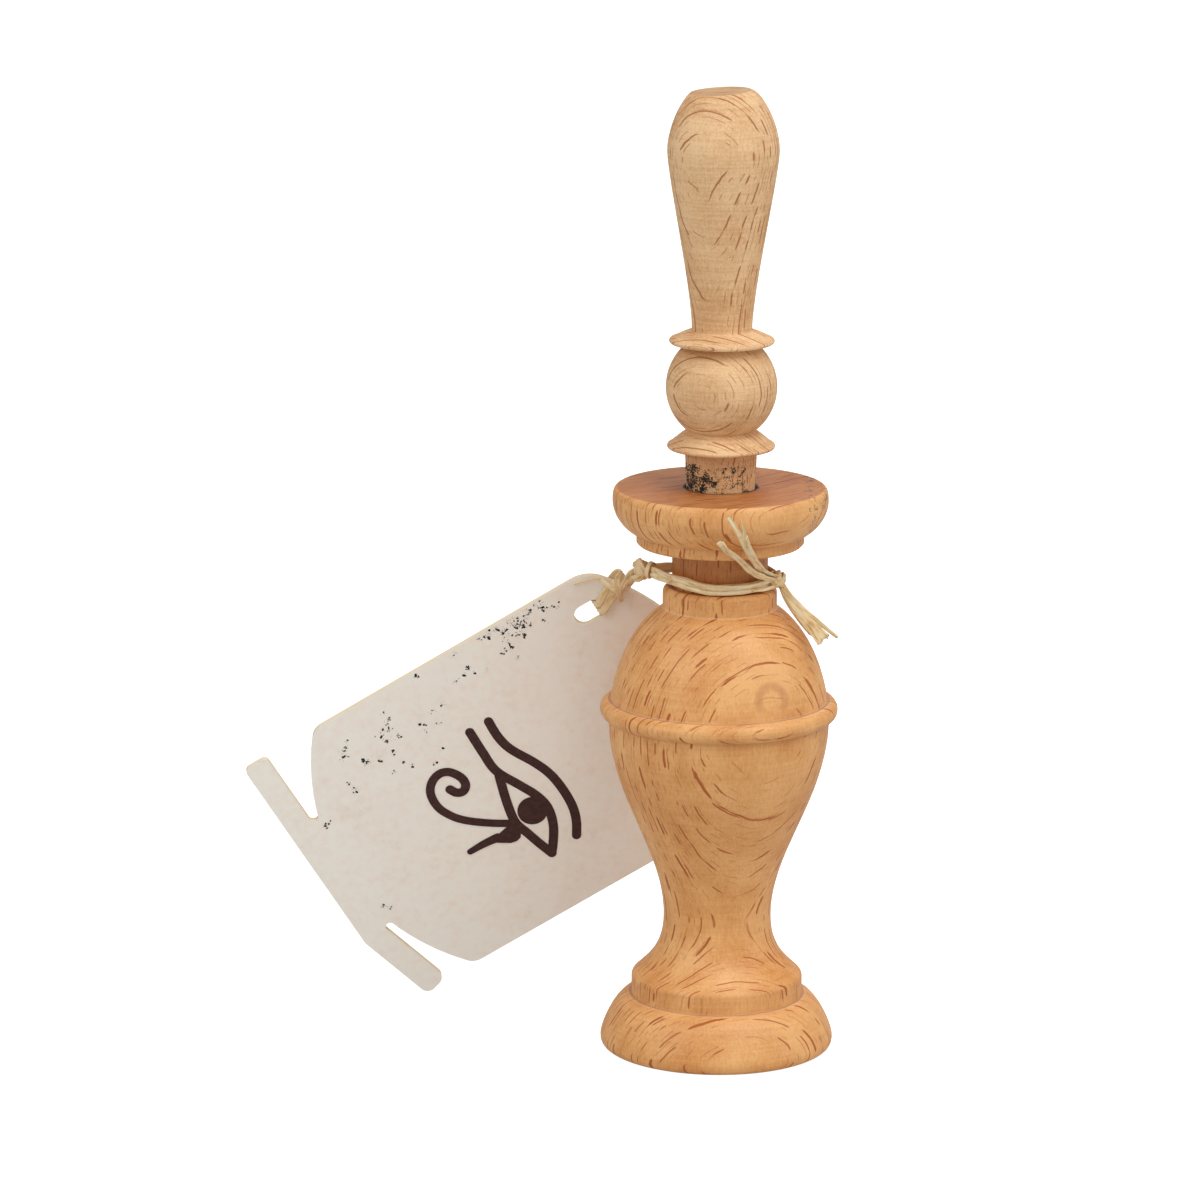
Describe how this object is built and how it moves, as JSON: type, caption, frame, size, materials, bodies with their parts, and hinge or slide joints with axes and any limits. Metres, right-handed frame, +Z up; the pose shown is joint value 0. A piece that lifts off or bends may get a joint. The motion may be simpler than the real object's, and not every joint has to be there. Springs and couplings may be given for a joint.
{
  "type": "kohl container",
  "caption": "Turned wooden kohl pot with a bored baluster vessel, a lift-out stopper with an applicator stick, a raffia neck tie and a swinging card tag.",
  "frame": {"origin": "centre of the underside of the vessel's foot", "axes": "+Z up along the turning axis of the vessel and stopper; the tag hangs behind and to the -X side, its printed face towards -Y"},
  "size_m": [0.0804, 0.0388, 0.1301],
  "materials": {
    "vessel_beech": "steamed beech, lightly sealed, satin",
    "stopper_beech": "bare beech, sanded, matt",
    "stick_beech": "bare beech dowel, matt",
    "raffia": "dry natural raffia, faint sheen",
    "tag_card": "thick handmade paper card, matt, mottled"
  },
  "bodies": {
    "vessel": {"vessel": "vessel_beech"},
    "stopper": {"stopper": "stopper_beech", "applicator_stick": "stick_beech"},
    "tie": {"neck_loop": "raffia", "neck_knot": "raffia", "upper_tail_long": "raffia", "upper_tail_short": "raffia", "lower_tail_front": "raffia", "lower_tail_back": "raffia", "lead_knot": "raffia", "lead_strand": "raffia"},
    "tag": {"tag_hitch": "raffia", "tag_loop": "raffia", "tag": "tag_card"}
  },
  "joints": [
    {"name": "stopper_slide", "type": "slide", "parent": "vessel", "child": "stopper", "axis": [0, 0, 1], "range_m": [-0.00525, 0.065]},
    {"name": "tie_turn", "type": "hinge", "parent": "vessel", "child": "tie", "pos_m": [0, 0, 0.0645], "axis": [0, 0, 1], "continuous": true},
    {"name": "tag_swing", "type": "hinge", "parent": "tie", "child": "tag", "pos_m": [-0.01273, 0.01127, 0.0604], "axis": [1, 0, 0], "range_deg": [0, 75]}
  ]
}
